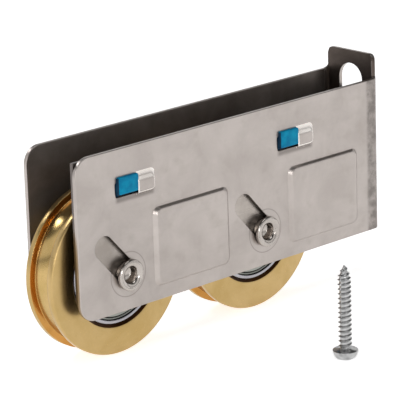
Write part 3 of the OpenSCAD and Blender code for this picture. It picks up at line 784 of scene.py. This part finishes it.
def make_fixing_screw():
    """A pan-head self-tapping screw that stands on its head."""
    low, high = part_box("fixing_screw")
    height = (high[2] - low[2]) / MM
    core, crest, pitch, head_r, head_h, point = 1.4, 1.85, 1.32, 3.5, 2.5, 3.4
    flat_r, dome_h, dome_turn, dome_steps = 2.1, 2.0, math.radians(62), 7
    profile = [(0, 1.1), (0.9, 1.1), (1.0, 0.0), (flat_r, 0)]
    for k in range(1, dome_steps):
        turn = k / dome_steps * dome_turn
        profile.append((flat_r + (head_r - flat_r) * math.sin(turn) / math.sin(dome_turn),
                        dome_h * (1 - math.cos(turn)) / (1 - math.cos(dome_turn))))
    profile += [(head_r, 2.05), (head_r - 0.05, 2.35), (head_r - 0.3, head_h), (core + 0.4, head_h + 0.05),
                (core, head_h + 0.35), (core, height - point), (core * 0.55, height - point * 0.4),
                (0.12, height - 0.05), (0, height)]
    shank = turned("shank", profile, sides=64, edge=0.0)
    ridge_base, ridge_top, bare = 0.66, 0.06, 0.5
    ridge = thread("ridge", core, crest, pitch, ridge_base, ridge_top, height - point - head_h - bare)
    ridge.data.transform(Matrix.Translation((0, 0, (head_h + bare) * MM)))
    tip = thread("tip_ridge", core, crest, pitch, ridge_base, ridge_top, point - bare)
    edit(tip)
    mesh = bmesh.from_edit_mesh(tip.data)
    for v in mesh.verts:
        share = min(max(v.co.z / MM / point, 0), 1)
        taper = 1 - 0.75 * share ** 1.2
        v.co.x *= taper
        v.co.y *= taper
    bmesh.update_edit_mesh(tip.data)
    done()
    tip.data.transform(Matrix.Translation((0, 0, (height - point) * MM)))
    screw = together([shank, ridge, tip], "fixing_screw_threaded")
    middle = axle_of("fixing_screw")
    screw.location = Vector((middle[0], middle[1], low[2] / MM)) * MM
    settle(screw, 40)
    dress(screw, "fixing_screw", "loose_screw", "screw_steel", FRESH_ZINC)


def make_glide_pad(end):
    """A moulded block in the window, with a thin tongue that runs under the louvre."""
    x0 = WINDOW_X[end]
    z0, z1 = WINDOW["low_z"], WINDOW["low_z"] + WINDOW["height"]
    split = x0 + WINDOW["length"] - LOUVRE["length"]
    gap, upright = 0.2, 0.05
    block = raised_block("block", (x0 + gap, split + 0.4), (z0 + gap, z1), NEAR_Y, rise=0.9, corner=0.7,
                         leans=(0.5, upright, 0.9, upright), soft=0.3, root=1.1)
    tongue_end = x0 + WINDOW["length"] - 0.9
    tongue = raised_block("tongue", (split, tongue_end), (z0 + 0.6, z1 - 1.7), NEAR_Y, rise=0.1, corner=0.4,
                          leans=(upright,) * 4, soft=0.1, root=1.0)
    pad = together([block, tongue], f"glide_pad_{end}_moulded")
    settle(pad, 40)
    coat(pad, BLUE_ACETAL, SHADED_ACETAL)
    # Painted shade: the block's left and lower sides take the dark blue copy.
    for f in pad.data.polygons:
        f.material_index = 1 if f.normal.x < -0.6 or f.normal.z < -0.5 else 0
    dress(pad, f"glide_pad_{end}", "housing", "glide_plastic")


make_housing()
for end_name, end_axle in (("lead", LEAD), ("tail", TAIL)):
    make_wheel(end_name, end_axle)
    make_pin(end_name, end_axle)
    make_bearing(end_name, end_axle)
    make_glide_pad(end_name)
make_fixing_screw()

# ---------------------------------------------------------------- studio

def make_camera():
    """A long lens well in front, a little above, from the open end's side."""
    side, up_angle, lean = (math.radians(a) for a in (-42.94, 16.51, -1.87))
    distance, lens_mm, sensor_mm = 0.72882, 234.4572, 36
    target = Vector((-52.0, -1.45, 8.0)) * MM
    level = math.cos(up_angle)
    back = Vector((math.sin(side) * level, -math.cos(side) * level, math.sin(up_angle)))
    right = (-back).cross(Vector((0, 0, 1))).normalized()
    up = right.cross(-back)
    right_leant = right * math.cos(lean) + up * math.sin(lean)
    up_leant = up * math.cos(lean) - right * math.sin(lean)
    across, raised = 8.34270 * MM, -3.60062 * MM
    place = target + back * distance - right_leant * across + up_leant * raised
    data = bpy.data.cameras.new("camera")
    data.sensor_width = sensor_mm
    data.lens = lens_mm
    data.clip_start, data.clip_end = 0.05, 20
    camera = bpy.data.objects.new("camera", data)
    turn = Matrix((right_leant, up_leant, back)).transposed()
    camera.matrix_world = Matrix.Translation(place) @ turn.to_4x4()
    bpy.context.collection.objects.link(camera)
    bpy.context.scene.camera = camera


def soft_light(name, place, aim, size, watts):
    """A soft rectangular lamp at a place in metres, turned to its aim."""
    data = bpy.data.lights.new(name, "AREA")
    data.shape = "RECTANGLE"
    data.size, data.size_y = size
    data.energy = watts
    lamp = bpy.data.objects.new(name, data)
    lamp.location = place
    lamp.rotation_euler = (Vector(aim) - Vector(place)).to_track_quat("-Z", "Y").to_euler()
    bpy.context.collection.objects.link(lamp)


def make_studio():
    floor = start("studio_floor", "plane", size=12, location=(0, 0, FLOOR_Z * MM - 0.00005))
    edit(floor)
    bpy.ops.mesh.select_all(action="SELECT")
    bpy.ops.mesh.subdivide(number_cuts=3)
    done()
    material, tree, skin = blank("white_paper_sweep")
    place = add(tree, "ShaderNodeTexCoord").outputs["Object"]
    fibres = add(tree, "ShaderNodeTexNoise", {"Vector": place}, {"Scale": 900.0, "Detail": 2.0})
    tone = add(tree, "ShaderNodeValToRGB", {"Fac": fibres.outputs[0]})
    ramp(tone, [(0.0, "#FAFAFA"), (1.0, "#FFFFFF")])
    tree.links.new(tone.outputs[0], skin.inputs["Base Color"])
    skin.inputs["Roughness"].default_value = 0.9
    skin.inputs["Emission Color"].default_value = linear("#FFFFFF")
    skin.inputs["Emission Strength"].default_value = 0.68
    coat(floor, material)
    world = bpy.data.worlds.new("studio")
    bpy.context.scene.world = world
    world.use_nodes = True
    # White walls near the floor, and a dark ceiling over them.
    tree = world.node_tree
    outward = add(tree, "ShaderNodeTexCoord").outputs["Generated"]
    height = add(tree, "ShaderNodeSeparateXYZ", {"Vector": outward})
    walls = add(tree, "ShaderNodeValToRGB", {"Fac": height.outputs["Z"]})
    ramp(walls, [(0.0, 0.9), (0.07, 0.9), (0.11, 0.3), (0.15, 0.3), (0.19, 0.95), (0.47, 0.95), (0.54, 0.1),
                 (1.0, 0.1)])
    tree.links.new(walls.outputs[0], tree.nodes["Background"].inputs["Color"])
    tree.nodes["Background"].inputs["Strength"].default_value = 1.0
    soft_light("overhead", (-0.05, -0.15, 0.8), (-0.05, 0, 0), (0.45, 0.3), 0.8)
    soft_light("left_strip", (-0.8, -0.1, 0.45), (-0.1, 0, 0), (0.12, 0.5), 0.6)
    soft_light("back_strip", (-0.28, 0.6, 0.62), (-0.11, 0, 0), (0.3, 0.14), 1.2)
    soft_light("front_strip", (-0.45, -0.88, 0.12), (-0.06, 0, 0.01), (0.25, 0.2), 1.2)


make_camera()
make_studio()
bpy.context.scene.view_settings.view_transform = "Standard"
